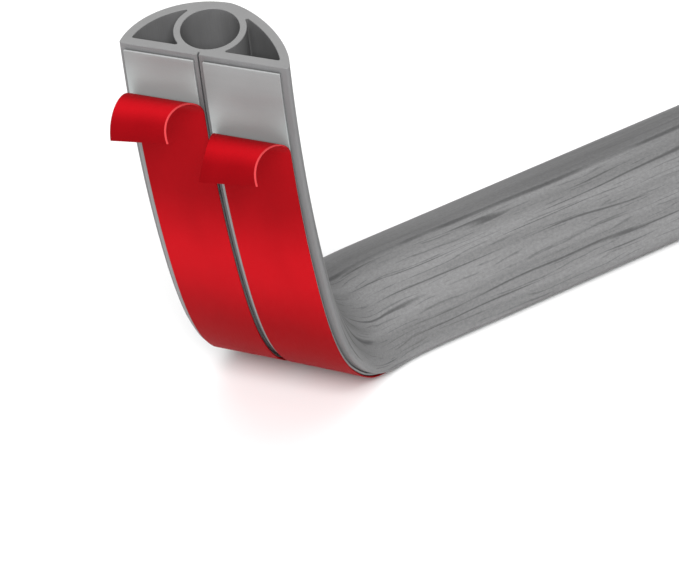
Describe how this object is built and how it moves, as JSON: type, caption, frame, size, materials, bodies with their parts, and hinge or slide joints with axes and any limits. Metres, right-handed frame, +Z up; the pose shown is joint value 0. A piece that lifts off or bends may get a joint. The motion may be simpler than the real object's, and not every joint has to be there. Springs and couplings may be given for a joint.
{
  "type": "floor cord cover",
  "caption": "Soft D-shaped floor cord cover with a round cable duct, side air chambers and adhesive pads under peelable film; one end is lifted and curled up.",
  "frame": {"origin": "middle of the bounding box's underside, on the floor", "axes": "+X along the strip away from the lifted end, +Z up, +Y to the left when looking along +X"},
  "size_m": [0.9076, 0.1162, 0.185],
  "materials": {
    "cover": "grey soft vinyl with a printed wood grain on the dome, plain on the cut ends, walls and underside",
    "tape_left": "grey adhesive foam, slightly tacky",
    "tape_right": "grey adhesive foam, slightly tacky",
    "liner_left": "satin red release film",
    "liner_right": "satin red release film"
  },
  "bodies": {
    "root": {"cover_profile": "cover", "adhesive_tape_left": "tape_left", "adhesive_tape_right": "tape_right", "release_liner_left": "liner_left", "release_liner_right": "liner_right"}
  },
  "joints": []
}
